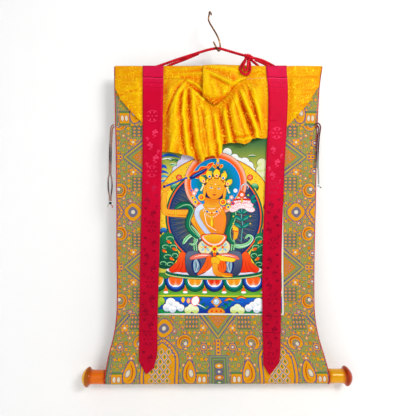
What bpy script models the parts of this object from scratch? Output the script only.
"""A thangka scroll painting that hangs from an S-hook.

Metres, +Z up. The front faces -Y and +X is to the viewer's right. The origin is the inside top of the
hook's upper curl, where a rail, nail or peg carries the whole scroll. Tables are in millimetres.
"""

import math
from collections import namedtuple

import bmesh
import bpy
from mathutils import Vector

MM = 0.001

# ---------------------------------------------------------------- driving dimensions (mm)
CLOTH = 1.2              # brocade, with its turned hems
FINE_CLOTH = 1.0         # veil, ribbons and painted canvas
SEAM_GAP = 0.3
CASING_SEAM = -141.0     # the line of stitches below the batten
UPPER_SEAM = -248.6      # top panel to side strips
LOWER_SEAM = -663.0      # side strips to bottom panel
PAINTING_LEFT = -142.4
PAINTING_RIGHT = 160.0
VEIL_BEHIND = 1.5        # how far the pressed veil lies in front of the mount
RIBBON_BEFORE = 3.1      # how far the ribbons lie in front of the mount

BATTEN_WIDE = 17.0
BATTEN_THICK = 5.0
BATTEN_Y = 2.2
BATTEN_TOP = -119.2

ROLLER_Y = -13.0
ROLLER_Z = -793.0
ROLLER_MIDDLE = 14.0
ROLLER_RISE = 0.0043     # the roller hangs a little lower at the left
SLEEVE_RADIUS = 13.8     # middle of the brocade wrapped round the dowel
DOWEL_RADIUS = 12.8
TENON_RADIUS = 7.9
TENON_LONG = 18.0
SOCKET_RADIUS = 8.3
SOCKET_DEEP = 20.0

WIRE_RADIUS = 1.8
CORD_RADIUS = 2.5
TIE_RADIUS = 1.5
PIPING_RADIUS = 1.1

# The mount's outline and the depth of its middle, from the top edge to the roller.
MountRow = namedtuple("MountRow", "z left right depth")
MOUNT = [
    MountRow(-117.5, -209.5, 244.0, -1.4),
    MountRow(-141.0, -209.3, 240.5, -1.4),
    MountRow(-166.0, -209.0, 237.5, -1.2),
    MountRow(-192.0, -208.5, 236.0, -1.1),
    MountRow(-248.6, -207.5, 233.5, -1.0),
    MountRow(-297.0, -206.5, 232.0, -1.2),
    MountRow(-411.0, -204.8, 229.5, -1.6),
    MountRow(-521.0, -204.0, 226.8, -2.2),
    MountRow(-600.0, -202.8, 225.6, -3.0),
    MountRow(-663.0, -203.3, 226.0, -5.6),
    MountRow(-706.0, -208.0, 231.5, -11.6),
    MountRow(-735.0, -214.5, 238.5, -18.0),
    MountRow(-755.0, -218.0, 243.5, -22.2),
    MountRow(-775.0, -221.0, 248.0, -25.6),
    MountRow(-793.0, -223.0, 250.5, -26.8),
]

# Each ribbon's two edges on the way down, then its slanted corners and its point.
RibbonRow = namedtuple("RibbonRow", "z left right")
RibbonEnd = namedtuple("RibbonEnd", "left_z point_share point_z right_z")
RIBBON_LEFT = [
    RibbonRow(-117.6, -148.2, -103.0),
    RibbonRow(-165.0, -148.4, -103.4),
    RibbonRow(-248.0, -148.6, -104.6),
    RibbonRow(-324.5, -149.0, -106.6),
    RibbonRow(-520.0, -153.0, -111.5),
    RibbonRow(-658.0, -155.0, -115.2),
    RibbonRow(-700.0, -154.4, -115.0),
    RibbonRow(-740.0, -152.5, -114.2),
    RibbonRow(-767.0, -152.3, -119.0),
]
RIBBON_RIGHT = [
    RibbonRow(-117.6, 121.6, 166.3),
    RibbonRow(-169.5, 126.0, 169.4),
    RibbonRow(-246.0, 126.0, 167.4),
    RibbonRow(-324.5, 121.6, 162.6),
    RibbonRow(-520.0, 114.0, 155.5),
    RibbonRow(-656.0, 112.4, 153.4),
    RibbonRow(-700.0, 112.6, 151.0),
    RibbonRow(-740.0, 112.0, 148.4),
    RibbonRow(-760.0, 111.2, 145.6),
]
RIBBON_LEFT_END = RibbonEnd(-754.5, 0.50, -780.0, -767.0)
RIBBON_RIGHT_END = RibbonEnd(-760.5, 0.38, -782.0, -756.5)

# The veil's hem: it drops from both sides to a low front panel left of the middle.
HemPoint = namedtuple("HemPoint", "x z")
VEIL_HEM = [
    HemPoint(-209.0, -166.0),
    HemPoint(-196.0, -193.0),
    HemPoint(-174.0, -218.0),
    HemPoint(-149.0, -243.0),
    HemPoint(-128.0, -278.0),
    HemPoint(-108.0, -305.5),
    HemPoint(-70.5, -311.0),
    HemPoint(-38.5, -318.0),
    HemPoint(-25.0, -330.0),
    HemPoint(-15.5, -329.0),
    HemPoint(-12.0, -321.0),
    HemPoint(4.5, -315.5),
    HemPoint(24.6, -310.0),
    HemPoint(25.4, -290.0),
    HemPoint(55.5, -287.5),
    HemPoint(74.0, -292.0),
    HemPoint(85.5, -286.0),
    HemPoint(90.0, -279.0),
    HemPoint(120.5, -276.5),
    HemPoint(145.5, -263.0),
    HemPoint(169.5, -249.5),
    HemPoint(191.5, -225.5),
    HemPoint(213.0, -201.5),
    HemPoint(226.5, -179.5),
    HemPoint(237.5, -163.0),
]
# Where the gathers start: under the casing seam at the sides, under the tucked flap in the middle.
GATHER_START = [
    HemPoint(-104.0, -143.0),
    HemPoint(-50.0, -147.0),
    HemPoint(-30.0, -162.0),
    HemPoint(-16.0, -184.0),
    HemPoint(0.0, -199.0),
    HemPoint(12.0, -205.0),
    HemPoint(26.0, -196.0),
    HemPoint(42.0, -182.0),
    HemPoint(56.0, -161.0),
    HemPoint(79.0, -147.0),
    HemPoint(121.0, -143.0),
]
# Folds of the veil, each a soft ridge (height over 0) or trough (under 0) along a bent line.
Fold = namedtuple("Fold", "height top_width low_width line")
VEIL_FOLDS = [
    Fold(-4.0, 4.0, 7.0, [(-64, -152), (-81, -184), (-94, -213), (-101, -242)]),
    Fold(3.0, 4.0, 9.0, [(-60, -154), (-76, -190), (-82, -230), (-84, -306)]),
    Fold(-4.5, 4.0, 5.0, [(-53, -158), (-67, -191), (-66, -224), (-64, -273), (-55, -313)]),
    Fold(3.5, 4.0, 5.0, [(-56, -168), (-59, -224), (-55, -258), (-49, -312)]),
    Fold(-7.0, 4.0, 6.0, [(-50, -160), (-48, -208), (-45, -258), (-38, -300), (-29, -326)]),
    Fold(4.5, 4.0, 6.0, [(-38, -176), (-36, -224), (-29, -274), (-17, -328)]),
    Fold(3.0, 5.0, 9.0, [(-8, -200), (-6, -250), (-2, -318)]),
    Fold(4.0, 4.0, 6.0, [(6, -206), (10, -232), (15, -266), (21, -312)]),
    Fold(-7.0, 4.5, 7.0, [(15, -207), (20, -235), (26, -262), (30, -294)]),
    Fold(3.0, 4.0, 5.0, [(27, -197), (31, -230), (38, -262), (42, -290)]),
    Fold(-4.5, 4.0, 5.0, [(34, -190), (40, -233), (47, -266), (52, -288)]),
    Fold(3.5, 4.0, 7.0, [(42, -184), (50, -225), (58, -258), (68, -292)]),
    Fold(-6.5, 4.5, 7.0, [(58, -170), (68, -205), (82, -241), (92, -262)]),
    Fold(4.5, 4.0, 5.0, [(56, -162), (70, -192), (86, -225), (97, -258), (102, -281)]),
    Fold(-5.0, 4.0, 5.5, [(76, -152), (85, -183), (96, -216), (107, -250), (112, -280)]),
    Fold(3.0, 4.0, 5.0, [(88, -150), (99, -200), (110, -241), (117, -274)]),
    Fold(-1.4, 3.0, 4.0, [(-200, -181), (-174, -173), (-150, -170)]),
    Fold(-1.4, 3.0, 4.0, [(170, -174), (196, -161), (230, -147)]),
    Fold(-1.2, 3.0, 4.0, [(170, -220), (192, -212), (216, -200)]),
]
GATHER_BULGE = 9.0
BULGE_INSET = -101.0, 119.0   # the veil is pressed flat behind the ribbons

# The veil's tucked flap: a fold of it turned over the top edge, narrowing to a point at the right.
FlapRow = namedtuple("FlapRow", "x top front_z low_z")
FLAP = [
    FlapRow(-16.5, -116.6, -180.0, -186.0),
    FlapRow(-4.0, -115.4, -183.0, -196.0),
    FlapRow(8.0, -115.2, -185.0, -205.0),
    FlapRow(19.0, -115.2, -185.0, -200.0),
    FlapRow(30.0, -115.4, -182.0, -191.0),
    FlapRow(42.0, -115.8, -172.0, -179.0),
    FlapRow(54.0, -116.2, -158.0, -161.0),
    FlapRow(66.0, -116.8, -149.0, -151.0),
    FlapRow(79.0, -117.2, -144.5, -146.0),
]
LAPEL_EDGE = [HemPoint(-15.0, -128.0), HemPoint(0.0, -136.5), HemPoint(44.0, -162.5), HemPoint(56.0, -157.0),
              HemPoint(62.0, -150.0), HemPoint(79.0, -146.0)]

# Turned knob: distance out from the cloth's edge and radius.
KNOB_PROFILE = [
    (54.5, 0.0),
    (54.0, 4.5),
    (52.4, 9.5),
    (49.6, 14.0),
    (46.0, 17.6),
    (42.8, 19.7),
    (41.0, 20.1),
    (39.6, 19.4),
    (38.2, 17.0),
    (36.4, 15.4),
    (33.4, 14.4),
    (26.0, 14.1),
    (12.0, 14.2),
    (3.2, 14.3),
    (2.7, 13.9),
    (2.7, SOCKET_RADIUS),
    (2.7 + SOCKET_DEEP, SOCKET_RADIUS),
    (2.7 + SOCKET_DEEP, 0.0),
]

# Routes, each point (x, y, z). The hook's upper curl is an arc; the rest of its wire runs through these.
CURL_RADIUS = 8.0
CURL_TURN = math.radians(20.0)   # the upper curl's plane, turned from the YZ plane
HOOK_ROUTE = [
    (-4.2, -7.3, -14.0),
    (-4.0, -6.4, -19.5),
    (-1.5, -5.2, -25.0),
    (2.6, -3.8, -31.0),
    (8.5, -1.8, -39.5),
    (14.8, 0.4, -49.5),
    (18.8, 2.4, -57.5),
    (20.8, 3.9, -65.0),
    (21.6, 4.9, -72.5),
    (21.2, 4.9, -78.0),
    (19.4, 2.8, -81.3),
    (17.0, 0.0, -82.4),
    (14.8, -2.8, -81.3),
    (12.8, -4.9, -78.2),
    (10.0, -5.4, -73.0),
    (6.2, -5.9, -65.5),
]
HANGING_CORD = [
    (-34.0, 1.5, -94.4),
    (-54.5, 3.0, -100.4),
    (-79.5, 6.4, -108.6),
    (-93.0, 9.2, -114.6),
    (-105.0, 9.4, -122.0),
    (-116.0, 9.4, -129.6),
    (-128.0, 9.4, -133.6),
    (-138.6, 9.4, -130.6),
    (-142.0, 9.4, -123.6),
    (-135.0, 9.4, -118.0),
    (-121.0, 9.3, -113.8),
    (-96.0, 7.2, -106.2),
    (-76.0, 5.0, -100.2),
    (-54.5, 3.2, -94.2),
    (-23.5, 1.2, -85.4),
    (-5.5, 0.3, -80.6),
    (7.5, 0.0, -78.0),
    (16.8, 0.0, -77.3),
    (25.0, 0.0, -78.8),
    (47.5, 0.5, -85.2),
    (66.0, 0.9, -90.3),
    (74.2, 1.1, -92.6),
]
CORD_LOOP_RIGHT = [
    (96.4, 2.2, -97.9),
    (107.0, 3.8, -99.8),
    (117.5, 5.8, -102.2),
    (131.5, 8.8, -107.3),
    (141.0, 9.3, -112.2),
    (150.0, 9.4, -119.0),
    (154.6, 9.4, -127.0),
    (149.6, 9.4, -134.4),
    (139.0, 9.4, -136.0),
    (126.0, 9.4, -130.0),
    (115.5, 9.4, -121.0),
    (108.0, 9.2, -113.6),
    (101.0, 6.6, -108.6),
    (95.8, 4.4, -105.6),
    (91.4, 2.9, -103.4),
]
CORD_STRAND_RIGHT = [
    (108.5, 4.4, -105.8),
    (115.0, 6.4, -108.0),
    (122.0, 8.6, -110.6),
    (129.5, 9.3, -114.0),
    (134.6, 9.4, -119.0),
    (136.0, 9.4, -125.0),
]
CORD_TAIL_OUTER = [
    (77.6, -2.4, -101.6),
    (74.6, -5.6, -107.0),
    (70.0, -8.4, -114.0),
    (65.8, -9.5, -121.4),
    (64.6, -9.7, -128.0),
    (67.8, -9.7, -134.6),
    (74.6, -9.7, -138.4),
    (81.0, -9.7, -138.0),
    (85.2, -9.7, -132.8),
    (86.4, -9.7, -125.4),
    (86.0, -9.4, -117.4),
    (84.8, -7.0, -110.6),
    (83.6, -4.0, -104.9),
]
CORD_TAIL_INNER = [
    (75.6, -11.8, -110.0),
    (73.6, -13.8, -114.8),
    (71.4, -14.4, -121.0),
    (71.0, -14.4, -127.0),
    (73.8, -14.4, -131.6),
    (78.0, -14.4, -131.2),
    (80.0, -14.4, -126.4),
    (80.4, -14.4, -120.0),
    (80.8, -13.8, -114.6),
    (81.0, -11.8, -110.2),
]
TIE_LEFT_OUTER = [
    (-211.2, -1.4, -245.8),
    (-215.4, -2.2, -247.8),
    (-218.6, -2.4, -253.4),
    (-219.6, -2.4, -266.0),
    (-220.2, -2.4, -278.5),
    (-221.4, -2.4, -303.5),
    (-221.9, -2.4, -328.5),
    (-222.3, -2.4, -354.0),
    (-224.3, -2.4, -364.0),
    (-224.6, -2.4, -379.0),
    (-223.4, -2.4, -393.0),
    (-221.8, -2.4, -404.0),
    (-221.7, -2.4, -413.8),
]
TIE_LEFT_INNER = [
    (-211.2, -1.4, -250.2),
    (-213.8, -2.2, -252.4),
    (-215.4, -2.4, -257.0),
    (-216.2, -2.4, -266.0),
    (-216.8, -2.4, -278.5),
    (-218.0, -2.4, -303.5),
    (-218.5, -2.4, -328.5),
    (-218.8, -2.4, -354.0),
    (-217.0, -2.4, -364.0),
    (-216.2, -2.4, -380.0),
    (-217.2, -2.4, -393.0),
    (-218.4, -2.4, -404.0),
    (-218.3, -2.4, -413.8),
]
TIE_LEFT_KNOT = (-220.0, -2.4, -418.4)
TIE_LEFT_END_PALE = [(-222.8, -2.6, -421.0), (-224.6, -3.0, -423.2), (-226.2, -3.2, -426.0)]
TIE_LEFT_END_RED = [(-217.8, -2.6, -421.6), (-215.8, -3.0, -424.4), (-214.6, -3.2, -428.4)]
TIE_RIGHT_OUTER = [
    (229.4, -4.4, -246.0),
    (234.6, -5.2, -243.6),
    (239.0, -5.4, -247.6),
    (240.4, -5.4, -253.4),
    (239.2, -5.4, -263.0),
    (237.8, -5.4, -273.5),
    (236.6, -5.4, -288.5),
    (235.8, -5.4, -304.0),
    (235.2, -5.4, -318.5),
    (235.0, -5.4, -332.0),
    (235.2, -5.4, -345.0),
    (235.8, -5.4, -360.0),
    (236.2, -5.4, -376.6),
]
TIE_RIGHT_INNER = [
    (230.4, -4.4, -250.6),
    (234.2, -5.2, -249.2),
    (236.6, -5.4, -254.6),
    (235.8, -5.4, -263.0),
    (234.4, -5.4, -273.5),
    (233.2, -5.4, -288.5),
    (232.4, -5.4, -304.0),
    (231.8, -5.4, -318.5),
    (231.5, -5.4, -330.0),
    (231.5, -5.4, -341.0),
]
TIE_RIGHT_KNOT = (236.3, -5.4, -380.6)
TIE_RIGHT_END = [(238.9, -5.6, -382.4), (240.2, -5.8, -383.6), (241.4, -5.8, -385.4)]

FINISHES = {
    # name: colour, roughness, metallic
    "veil_silk": ((0.85, 0.50, 0.02), 0.42, 0.0),
    "ribbon_satin": ((0.55, 0.01, 0.05), 0.45, 0.0),
    "brocade": ((0.42, 0.36, 0.13), 0.7, 0.0),
    "painted_canvas": ((0.25, 0.33, 0.22), 0.65, 0.0),
    "cord_red": ((0.55, 0.005, 0.02), 0.6, 0.0),
    "braid": ((0.16, 0.08, 0.07), 0.8, 0.0),
    "hook_brass": ((0.38, 0.2, 0.07), 0.35, 0.9),
    "knob_lacquer": ((0.78, 0.33, 0.01), 0.2, 0.0),
    "plain_wood": ((0.5, 0.34, 0.18), 0.6, 0.0),
}


# ---------------------------------------------------------------- helpers
def clear_scene():
    for obj in list(bpy.data.objects):
        bpy.data.objects.remove(obj, do_unlink=True)


def ease(share):
    """0 up to 1 with level ends."""
    share = min(max(share, 0.0), 1.0)
    return share * share * (3.0 - 2.0 * share)


def straight(rows, key, value, at):
    """The value named by `value` on straight lines between rows, at `at` along `key`."""
    ordered = sorted(rows, key=lambda row: getattr(row, key))
    if at <= getattr(ordered[0], key):
        return getattr(ordered[0], value)
    for low, high in zip(ordered, ordered[1:]):
        start, end = getattr(low, key), getattr(high, key)
        if at <= end:
            share = (at - start) / (end - start)
            return getattr(low, value) * (1.0 - share) + getattr(high, value) * share
    return getattr(ordered[-1], value)


def smooth(rows, key, value, at):
    """The same on a smooth curve that runs level at both ends."""
    ordered = sorted(rows, key=lambda row: getattr(row, key))
    ks = [getattr(row, key) for row in ordered]
    vs = [getattr(row, value) for row in ordered]
    at = min(max(at, ks[0]), ks[-1])
    i = max(j for j in range(len(ks) - 1) if ks[j] <= at)
    slopes = [0.0] * len(ks)
    for j in range(1, len(ks) - 1):
        slopes[j] = (vs[j + 1] - vs[j - 1]) / (ks[j + 1] - ks[j - 1])
    span = ks[i + 1] - ks[i]
    t = (at - ks[i]) / span
    return (
        vs[i] * (1 + 2 * t) * (1 - t) ** 2
        + slopes[i] * span * t * (1 - t) ** 2
        + vs[i + 1] * t * t * (3 - 2 * t)
        + slopes[i + 1] * span * t * t * (t - 1)
    )


def route_points(points, step):
    """Evenly spaced points, `step` mm apart, on a smooth curve through the given ones."""
    spots = [Vector(p) for p in points]
    spots = [2 * spots[0] - spots[1]] + spots + [2 * spots[-1] - spots[-2]]
    fine = []
    for a, b, c, d in zip(spots, spots[1:], spots[2:], spots[3:]):
        for k in range(16):
            t = k / 16
            square = (2 * a - 5 * b + 4 * c - d) * t * t
            cube = (3 * b - a - 3 * c + d) * t**3
            fine.append(0.5 * (2 * b + (c - a) * t + square + cube))
    fine.append(spots[-2])
    lengths = [0.0]
    for a, b in zip(fine, fine[1:]):
        lengths.append(lengths[-1] + (b - a).length)
    count = max(2, round(lengths[-1] / step))
    result = []
    i = 0
    for k in range(count + 1):
        goal = lengths[-1] * k / count
        while i < len(fine) - 2 and lengths[i + 1] < goal:
            i += 1
        share = (goal - lengths[i]) / (lengths[i + 1] - lengths[i])
        result.append(fine[i].lerp(fine[i + 1], share))
    return result


def finish_of(name):
    material = bpy.data.materials.get(name)
    if material is None:
        colour, roughness, metallic = FINISHES[name]
        material = bpy.data.materials.new(name)
        material.use_nodes = True
        shader = material.node_tree.nodes["Principled BSDF"]
        shader.inputs["Base Color"].default_value = (*colour, 1.0)
        shader.inputs["Roughness"].default_value = roughness
        shader.inputs["Metallic"].default_value = metallic
    return material


def keep(obj, name, finish, smooth_angle=40.0):
    """Names the object, gives it its finish and puts it in the scroll's collection."""
    obj.name = name
    for collection in list(obj.users_collection):
        collection.objects.unlink(obj)
    SCROLL.objects.link(obj)
    obj.data.materials.clear()
    obj.data.materials.append(finish_of(finish))
    if obj.type == "MESH":
        obj.data.shade_smooth()
        obj.data.set_sharp_from_angle(angle=math.radians(smooth_angle))
    return obj


def sheet(name, finish, columns, rows, place, thickness):
    """A cloth: an open grid whose points `place(u, v)` puts in mm, thickened evenly both ways."""
    bpy.ops.mesh.primitive_grid_add(x_subdivisions=columns, y_subdivisions=rows, size=2.0)
    obj = bpy.context.object
    for vertex in obj.data.vertices:
        u = (vertex.co.x + 1.0) / 2.0
        v = (1.0 - vertex.co.y) / 2.0
        vertex.co = Vector(place(u, v)) * MM
    thicken(obj, thickness)
    return keep(obj, name, finish)


def thicken(obj, thickness, even=True):
    """Even keeps the full thickness round bends; a steep pleat does better without it."""
    solid = obj.modifiers.new("Thickness", "SOLIDIFY")
    solid.thickness = thickness * MM
    solid.offset = 0.0
    solid.use_even_offset = even


def tube(name, finish, points, radius, step=None, fineness=2):
    """A cord or wire of round section along a smooth curve through `points` (mm)."""
    data = bpy.data.curves.new(name, "CURVE")
    data.dimensions = "3D"
    data.bevel_depth = radius * MM
    data.bevel_resolution = fineness
    data.use_fill_caps = True
    line = data.splines.new("POLY")
    spots = route_points(points, step or 4.5 * radius)
    line.points.add(len(spots) - 1)
    for point, spot in zip(line.points, spots):
        point.co = (*(spot * MM), 1.0)
    obj = bpy.data.objects.new(name, data)
    SCROLL.objects.link(obj)
    obj.data.materials.append(finish_of(finish))
    return obj


def turned(name, finish, profile, centre, outward):
    """A turned piece: `profile` is (distance along, radius) pairs from its outer tip inwards."""
    data = bpy.data.meshes.new(name)
    corners = [(radius * MM, 0.0, along * MM) for along, radius in profile]
    data.from_pydata(corners, [(i, i + 1) for i in range(len(corners) - 1)], [])
    obj = bpy.data.objects.new(name, data)
    bpy.context.scene.collection.objects.link(obj)
    spin = obj.modifiers.new("Turning", "SCREW")
    spin.steps = 24
    spin.render_steps = 24
    spin.use_merge_vertices = True
    spin.merge_threshold = 0.00001
    obj.location = Vector(centre) * MM
    tilt = math.atan(ROLLER_RISE)
    obj.rotation_euler = (0.0, outward * math.pi / 2 - tilt, 0.0)
    return keep(obj, name, finish)


def knot(name, finish, centre, sizes, slope, turns):
    """A small knot: a rounded body with the ridges of the cord that is wrapped round it."""
    bpy.ops.mesh.primitive_uv_sphere_add(segments=14, ring_count=8, radius=1.0)
    obj = bpy.context.object
    long, thick = sizes
    for vertex in obj.data.vertices:
        along = vertex.co.z
        around = math.atan2(vertex.co.y, vertex.co.x)
        ridge = 1.0 + 0.07 * math.cos(turns * math.pi * along + around)
        side = Vector((vertex.co.x, vertex.co.y)) * thick * ridge
        spot = Vector((along * long, side.x, side.y))
        cosine, sine = math.cos(slope), math.sin(slope)
        turned_spot = Vector((spot.x * cosine - spot.z * sine, spot.y, spot.x * sine + spot.z * cosine))
        vertex.co = (Vector(centre) + turned_spot) * MM
    if volume_sign(obj.data) < 0:
        obj.data.flip_normals()
    return keep(obj, name, finish)


def volume_sign(data):
    work = bmesh.new()
    work.from_mesh(data)
    volume = work.calc_volume(signed=True)
    work.free()
    return volume


# ---------------------------------------------------------------- shape of the mount
def unevenness(x, z):
    """The slight waves that every layer of the hanging cloth shares."""
    below = ease((CASING_SEAM - z) / 120.0)
    return below * 0.8 * (math.sin(x / 62.0 + z / 170.0) + 0.6 * math.sin(z / 58.0 - x / 140.0))


def mount_y(x, z):
    return smooth(MOUNT, "z", "depth", z) + unevenness(x, z) * ease((z - ROLLER_Z) / 60.0)


def edge(side, z):
    return smooth(MOUNT, "z", side, z)


def roller_lift(x, z):
    """How much the sloping roller lifts the cloth that it carries."""
    return ROLLER_RISE * (x - ROLLER_MIDDLE) * ease((LOWER_SEAM - z) / (LOWER_SEAM - ROLLER_Z))


def casing_section():
    """The top panel's section (y, z): up the back of the batten, over it and down the front."""
    back = BATTEN_Y + BATTEN_THICK / 2 + 0.4 + CLOTH / 2
    front = BATTEN_Y - BATTEN_THICK / 2 - 0.4 - CLOTH / 2
    top = BATTEN_TOP + 0.4 + CLOTH / 2
    pinched = front + CLOTH + 0.4
    bend = 2.2
    section = [(pinched, CASING_SEAM - 9.0), (pinched, CASING_SEAM - 4.0), (back, BATTEN_TOP - BATTEN_WIDE - 2.0)]
    for angle in (0, 30, 60, 90):
        turn = math.radians(angle)
        section.append((back - bend + bend * math.cos(turn), top - bend + bend * math.sin(turn)))
    for angle in (90, 120, 150, 180):
        turn = math.radians(angle)
        section.append((front + bend + bend * math.cos(turn), top - bend + bend * math.sin(turn)))
    return section + [(front, CASING_SEAM + 8.0)]


def sleeve_section():
    """The bottom panel's section past the roller's front (y, z): round the dowel and up to its hem."""
    hem_z = -762.0
    hem_y = smooth(MOUNT, "z", "depth", hem_z) + CLOTH + 0.6
    reach = Vector((hem_y - ROLLER_Y, hem_z - ROLLER_Z))
    leave = math.atan2(reach.y, reach.x) - math.acos(SLEEVE_RADIUS / reach.length)
    stops = 12
    section = []
    for k in range(1, stops + 1):
        angle = math.pi + (math.pi + leave) * k / stops
        section.append((ROLLER_Y + SLEEVE_RADIUS * math.cos(angle), ROLLER_Z + SLEEVE_RADIUS * math.sin(angle)))
    above = hem_z + 9.0
    section.append((hem_y, hem_z))
    section.append((smooth(MOUNT, "z", "depth", above) + CLOTH + 0.6, above))
    return section


def make_mount():
    """The brocade frame in four panels, sewn edge to edge round the painting."""
    casing = casing_section()
    drop_rows = 7

    def top_panel(u, v):
        index = round(v * (len(casing) + drop_rows - 1))
        if index < len(casing):
            y, z = casing[index]
            level = z
        else:
            share = (index - len(casing) + 1) / drop_rows
            z = CASING_SEAM + 8.0 + (UPPER_SEAM + SEAM_GAP / 2 - CASING_SEAM - 8.0) * share
            level = z
            y = None
        x = edge("left", level) * (1 - u) + edge("right", level) * u
        return (x, mount_y(x, z) if y is None else y, z)

    sheet("brocade_top", "brocade", 12, len(casing) + drop_rows - 1, top_panel, CLOTH)

    def side_panel(inner, side):
        def place(u, v):
            z = (UPPER_SEAM - SEAM_GAP / 2) * (1 - v) + (LOWER_SEAM + SEAM_GAP / 2) * v
            x = edge(side, z) * (1 - u) + inner * u
            return (x, mount_y(x, z), z)

        return place

    sheet("brocade_left", "brocade", 3, 12, side_panel(PAINTING_LEFT - SEAM_GAP / 2, "left"), CLOTH)
    sheet("brocade_right", "brocade", 3, 12, side_panel(PAINTING_RIGHT + SEAM_GAP / 2, "right"), CLOTH)

    def picture(u, v):
        z = (UPPER_SEAM - SEAM_GAP / 2) * (1 - v) + (LOWER_SEAM + SEAM_GAP / 2) * v
        x = (PAINTING_LEFT + SEAM_GAP / 2) * (1 - u) + (PAINTING_RIGHT - SEAM_GAP / 2) * u
        return (x, mount_y(x, z), z)

    sheet("painting", "painted_canvas", 8, 12, picture, FINE_CLOTH)

    wrap = sleeve_section()
    front_rows = 12

    def bottom_panel(u, v):
        index = round(v * (front_rows + len(wrap)))
        if index <= front_rows:
            z = LOWER_SEAM - SEAM_GAP / 2 + (ROLLER_Z - LOWER_SEAM + SEAM_GAP / 2) * index / front_rows
            x = edge("left", z) * (1 - u) + edge("right", z) * u
            return (x, mount_y(x, z), z + roller_lift(x, z))
        y, z = wrap[index - front_rows - 1]
        level = min(z, ROLLER_Z + SLEEVE_RADIUS) if index < front_rows + len(wrap) - 1 else z
        inset = 0.0 if index < front_rows + len(wrap) - 1 else 1.0
        left = edge("left", level) + inset
        right = edge("right", level) - inset
        x = left * (1 - u) + right * u
        return (x, y, z + ROLLER_RISE * (x - ROLLER_MIDDLE))

    sheet("brocade_bottom", "brocade", 14, front_rows + len(wrap), bottom_panel, CLOTH)


def make_batten():
    middle = (edge("left", CASING_SEAM) + edge("right", CASING_SEAM)) / 2
    long = edge("right", CASING_SEAM) - edge("left", CASING_SEAM) - 3.0
    centre = (middle, BATTEN_Y, BATTEN_TOP - BATTEN_WIDE / 2)
    bpy.ops.mesh.primitive_cube_add(size=1.0, location=Vector(centre) * MM)
    obj = bpy.context.object
    for vertex in obj.data.vertices:
        vertex.co = Vector((vertex.co.x * long, vertex.co.y * BATTEN_THICK, vertex.co.z * BATTEN_WIDE)) * MM
    soften = obj.modifiers.new("Soft edges", "BEVEL")
    soften.width = 1.0 * MM
    soften.segments = 2
    keep(obj, "top_batten", "plain_wood")


def make_piping():
    """A thin red piping down each edge and under the roller's front."""
    for name, side, out in (("piping_left", "left", -1), ("piping_right", "right", 1)):
        points = []
        for z in (-118.6, -141, -166, -205, -248, -297, -411, -521, -600, -663, -706, -735, -755, -775, -793):
            x = edge(side, z) + out * (SEAM_GAP + PIPING_RADIUS)
            points.append((x, mount_y(x, z), z + roller_lift(x, z)))
        for angle in (205, 230, 255):
            turn = math.radians(angle)
            y = ROLLER_Y + SLEEVE_RADIUS * math.cos(turn)
            points.append((points[-1][0], y, ROLLER_Z + SLEEVE_RADIUS * math.sin(turn)))
        tube(name, "cord_red", points, PIPING_RADIUS, step=17.0)


# ---------------------------------------------------------------- veil and ribbons
def fold_height(x, z):
    """The sum of the veil's ridges and troughs at a point, in mm towards the viewer."""
    total = 0.0
    here = Vector((x, z))
    for fold in VEIL_FOLDS:
        best, share = None, 0.0
        stretches = list(zip(fold.line, fold.line[1:]))
        for k, (start, end) in enumerate(stretches):
            a, b = Vector(start), Vector(end)
            t = min(max((here - a).dot(b - a) / (b - a).length_squared, 0.0), 1.0)
            away = (here - a.lerp(b, t)).length
            if best is None or away < best:
                best, share = away, (k + t) / len(stretches)
        width = fold.top_width + (fold.low_width - fold.top_width) * share
        total += fold.height * math.exp(-((best / width) ** 2))
    return total


def veil_y(x, z):
    pressed = mount_y(x, z) - VEIL_BEHIND
    between = ease((x - BULGE_INSET[0]) / 16.0) * ease((BULGE_INSET[1] - x) / 16.0)
    drop = straight(GATHER_START, "x", "z", x) - z
    raised = ease(drop / 34.0)
    wing = ease((-150.0 - x) / 12.0) + ease((x - 171.0) / 12.0)
    folds = fold_height(x, z)
    forward = between * raised * (GATHER_BULGE + folds) + wing * ease((CASING_SEAM - z) / 12.0) * (2.4 + folds)
    return pressed - max(forward, 0.0)


def flap_y(x, z, row):
    """The tucked flap: its folded lapel lies over its lower face, which rolls under at the bottom."""
    right_end = ease((x - 42.0) / 18.0)
    face = -6.0 - 9.0 * ease((-122.0 - z) / 45.0) * (1.0 - right_end)
    over = straight(LAPEL_EDGE, "x", "z", x) - z
    lapel = -3.0 * ease((3.0 - over) / 6.0) * ease((z + 190.0) / 20.0) * (1.0 - right_end)
    under = ease((row.front_z - z) / max(row.front_z - row.low_z, 1.0))
    return face + lapel + 6.0 * under * (1.0 - right_end)


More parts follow.
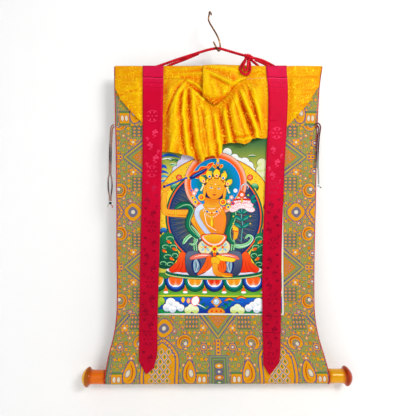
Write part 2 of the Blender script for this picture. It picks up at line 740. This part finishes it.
def make_veil():
    """One cloth: it hangs from the top edge, and in the middle a fold of it is turned over that edge."""
    columns = [-208.8, -190.0, -170.0, -149.0, -126.0, -103.5, -95.0, -88.0, -81.0, -74.0, -67.0, -61.0, -55.0,
               -49.0, -43.0, -36.0, -29.0, -23.0, -16.5, -10.0, -4.0, 2.0, 8.0, 14.0, 19.0, 24.6, 25.6, 30.0,
               36.0, 42.0, 48.0, 54.0, 60.0, 66.0, 72.0, 79.0, 86.0, 92.0, 98.0, 104.0, 111.0, 121.0, 126.0,
               147.0, 169.0, 191.0, 213.0, 236.8]
    rows = 15
    top_z = -117.6

    def place(u, v):
        index = round(u * (len(columns) - 1))
        x = columns[index]
        z = top_z + (straight(VEIL_HEM, "x", "z", x) - top_z) * v
        if index in (0, len(columns) - 1):
            side = "left" if index == 0 else "right"
            x = edge(side, z) - (0.5 if index else -0.5)
        return (x, veil_y(x, z), z)

    bpy.ops.mesh.primitive_grid_add(x_subdivisions=len(columns) - 1, y_subdivisions=rows, size=2.0)
    obj = bpy.context.object
    for vertex in obj.data.vertices:
        u = (vertex.co.x + 1.0) / 2.0
        v = (1.0 - vertex.co.y) / 2.0
        vertex.co = Vector(place(u, v)) * MM

    work = bmesh.new()
    work.from_mesh(obj.data)
    first, last = FLAP[0].x, FLAP[-1].x

    def on_top(vertex):
        return abs(vertex.co.z / MM - top_z) < 0.01 and first - 0.1 < vertex.co.x / MM < last + 0.1

    rim = [e for e in work.edges if e.is_boundary and all(on_top(v) for v in e.verts)]
    for step in range(1, 10):
        made = bmesh.ops.extrude_edge_only(work, edges=rim)["geom"]
        rim = [item for item in made if isinstance(item, bmesh.types.BMEdge)]
        for vertex in {v for e in rim for v in e.verts}:
            x = vertex.co.x / MM
            row = FlapRow(x, *(straight(FLAP, "x", key, x) for key in ("top", "front_z", "low_z")))
            if step == 1:
                vertex.co.y, vertex.co.z = -4.4 * MM, row.top * MM
                continue
            if step <= 7:
                z = top_z + (row.front_z - top_z) * (step - 2) / 5
            else:
                z = row.front_z + (row.low_z - row.front_z) * (step - 7) / 2
            vertex.co.y, vertex.co.z = flap_y(x, z, row) * MM, z * MM
    bmesh.ops.recalc_face_normals(work, faces=work.faces)
    work.to_mesh(obj.data)
    work.free()
    thicken(obj, FINE_CLOTH, even=False)
    keep(obj, "veil", "veil_silk", 60.0)


def make_ribbons():
    for name, table, end in (
        ("ribbon_left", RIBBON_LEFT, RIBBON_LEFT_END),
        ("ribbon_right", RIBBON_RIGHT, RIBBON_RIGHT_END),
    ):
        def place(u, v, table=table, end=end):
            if u < end.point_share:
                low = end.left_z + (end.point_z - end.left_z) * u / end.point_share
            else:
                low = end.point_z + (end.right_z - end.point_z) * (u - end.point_share) / (1 - end.point_share)
            z = table[0].z + (low - table[0].z) * v
            left = smooth(table, "z", "left", z)
            x = left + (smooth(table, "z", "right", z) - left) * u
            return (x, mount_y(x, z) - RIBBON_BEFORE, z)

        sheet(name, "ribbon_satin", 4, 26, place, FINE_CLOTH)


# ---------------------------------------------------------------- hook, cord, ties and roller
def make_hook():
    back = Vector((math.sin(CURL_TURN), math.cos(CURL_TURN), 0.0))
    centre = Vector((0.0, 0.0, WIRE_RADIUS - CURL_RADIUS))
    curl = []
    for angle in range(40, 181, 20):
        turn = math.radians(angle)
        curl.append(centre + back * CURL_RADIUS * math.cos(turn) + Vector((0, 0, CURL_RADIUS * math.sin(turn))))
    tube("hook", "hook_brass", curl + HOOK_ROUTE, WIRE_RADIUS, step=3.6)


def make_cord():
    tube("hanging_cord", "cord_red", HANGING_CORD, CORD_RADIUS, step=8.5)
    tube("cord_loop_right", "cord_red", CORD_LOOP_RIGHT, CORD_RADIUS, step=6.0)
    tube("cord_strand_right", "cord_red", CORD_STRAND_RIGHT, CORD_RADIUS, step=6.0)
    tube("cord_tail_outer", "cord_red", CORD_TAIL_OUTER, CORD_RADIUS, step=5.0)
    tube("cord_tail_inner", "cord_red", CORD_TAIL_INNER, CORD_RADIUS, step=5.0)
    knot("cord_knot", "cord_red", (85.0, 1.6, -95.6), (10.2, 5.6), math.radians(-15), 1.6)


def make_ties():
    tube("tie_left_outer", "braid", TIE_LEFT_OUTER, TIE_RADIUS)
    tube("tie_left_inner", "braid", TIE_LEFT_INNER, TIE_RADIUS)
    tube("tie_left_end_pale", "braid", TIE_LEFT_END_PALE, 1.3, step=2.5)
    tube("tie_left_end_red", "braid", TIE_LEFT_END_RED, 1.3, step=2.5)
    knot("tie_left_knot", "braid", TIE_LEFT_KNOT, (3.4, 2.9), 0.0, 1.0)
    tube("tie_right_outer", "braid", TIE_RIGHT_OUTER, TIE_RADIUS)
    tube("tie_right_inner", "braid", TIE_RIGHT_INNER, TIE_RADIUS)
    tube("tie_right_end", "braid", TIE_RIGHT_END, 1.2, step=2.5)
    knot("tie_right_knot", "braid", TIE_RIGHT_KNOT, (2.7, 2.5), 0.0, 1.0)


def make_roller():
    left, right = edge("left", ROLLER_Z), edge("right", ROLLER_Z)
    middle = (left + right) / 2
    half = (right - left) / 2 - 0.5
    lift = ROLLER_Z + ROLLER_RISE * (middle - ROLLER_MIDDLE)
    reach = half + TENON_LONG
    dowel = [
        (reach, 0.0),
        (reach, TENON_RADIUS),
        (half, TENON_RADIUS),
        (half, DOWEL_RADIUS),
        (-half, DOWEL_RADIUS),
        (-half, TENON_RADIUS),
        (-reach, TENON_RADIUS),
        (-reach, 0.0),
    ]
    turned("dowel", "plain_wood", dowel, (middle, ROLLER_Y, lift), 1)
    for name, x, outward in (("knob_left", left, -1), ("knob_right", right, 1)):
        centre = (x, ROLLER_Y, ROLLER_Z + ROLLER_RISE * (x - ROLLER_MIDDLE))
        turned(name, "knob_lacquer", KNOB_PROFILE, centre, outward)


clear_scene()
SCROLL = bpy.data.collections.new("thangka_scroll")
bpy.context.scene.collection.children.link(SCROLL)
make_hook()
make_cord()
make_batten()
make_mount()
make_piping()
make_veil()
make_ribbons()
make_ties()
make_roller()
